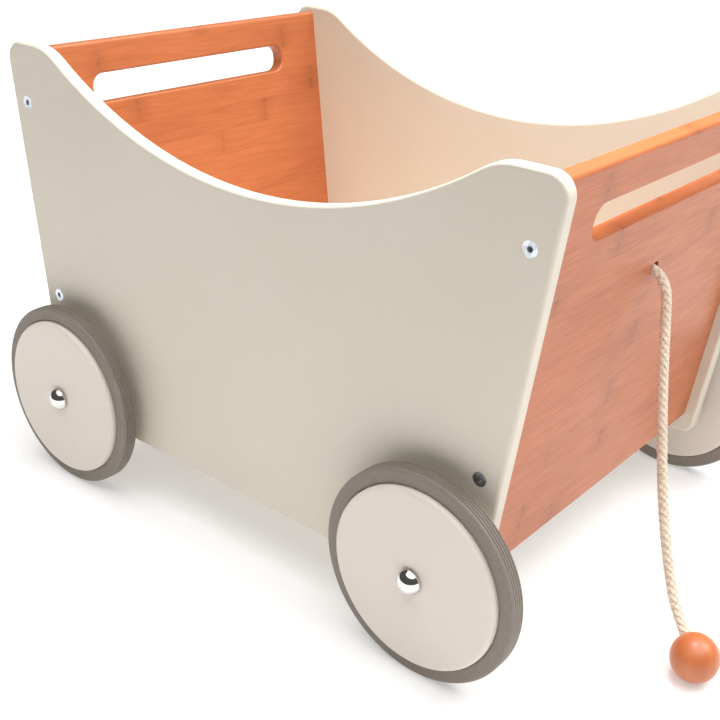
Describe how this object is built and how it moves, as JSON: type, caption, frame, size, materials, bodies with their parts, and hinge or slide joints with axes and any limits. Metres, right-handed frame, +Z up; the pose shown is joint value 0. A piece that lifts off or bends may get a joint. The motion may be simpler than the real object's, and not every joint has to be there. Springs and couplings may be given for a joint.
{
  "type": "push along truck",
  "caption": "Flared open toy wagon with concave sides, finger slots in both ends, rubber tyred wheels and a braided pull rope ending in a wooden ball.",
  "frame": {"origin": "on the ground under the middle of the box, centred on the wagon without its rope and ball", "axes": "+X forward to the end with the pull rope, +Y to the wagon's left, +Z up"},
  "size_m": [0.4674, 0.3144, 0.273],
  "materials": {
    "cream_paint": "satin cream paint on board",
    "bamboo": "oiled caramel bamboo ply, satin",
    "zinc_steel": "bright zinc plate",
    "axle_steel": "drawn steel rod",
    "nylon": "natural nylon",
    "cap_chrome": "polished nickel plate",
    "wheel_paint": "satin cream paint on board",
    "tyre_rubber": "matt taupe rubber with fine tread grooves",
    "cotton_rope": "braided natural cotton",
    "ball_wood": "stained and varnished wood, satin"
  },
  "bodies": {
    "wagon": {"side_panel_right": "cream_paint", "side_panel_left": "cream_paint", "front_panel": "bamboo", "rear_panel": "bamboo", "floor_board": "cream_paint", "panel_screws": "zinc_steel", "front_axle": "axle_steel", "rear_axle": "axle_steel", "panel_bushes": "nylon", "axle_spacers": "nylon", "axle_caps": "cap_chrome", "pull_rope": "cotton_rope", "rope_knot": "cotton_rope", "pull_ball": "ball_wood"},
    "wheel_front_right": {"wheel_disc_front_right": "wheel_paint", "tyre_front_right": "tyre_rubber", "hub_bush_front_right": "nylon"},
    "wheel_front_left": {"wheel_disc_front_left": "wheel_paint", "tyre_front_left": "tyre_rubber", "hub_bush_front_left": "nylon"},
    "wheel_rear_right": {"wheel_disc_rear_right": "wheel_paint", "tyre_rear_right": "tyre_rubber", "hub_bush_rear_right": "nylon"},
    "wheel_rear_left": {"wheel_disc_rear_left": "wheel_paint", "tyre_rear_left": "tyre_rubber", "hub_bush_rear_left": "nylon"}
  },
  "joints": [
    {"name": "wheel_spin_front_right", "type": "hinge", "parent": "wagon", "child": "wheel_front_right", "pos_m": [0.141, -0.1437, 0.0585], "axis": [0, 1, 0], "continuous": true},
    {"name": "wheel_spin_front_left", "type": "hinge", "parent": "wagon", "child": "wheel_front_left", "pos_m": [0.141, 0.1437, 0.0585], "axis": [0, 1, 0], "continuous": true},
    {"name": "wheel_spin_rear_right", "type": "hinge", "parent": "wagon", "child": "wheel_rear_right", "pos_m": [-0.141, -0.1437, 0.0585], "axis": [0, 1, 0], "continuous": true},
    {"name": "wheel_spin_rear_left", "type": "hinge", "parent": "wagon", "child": "wheel_rear_left", "pos_m": [-0.141, 0.1437, 0.0585], "axis": [0, 1, 0], "continuous": true}
  ]
}
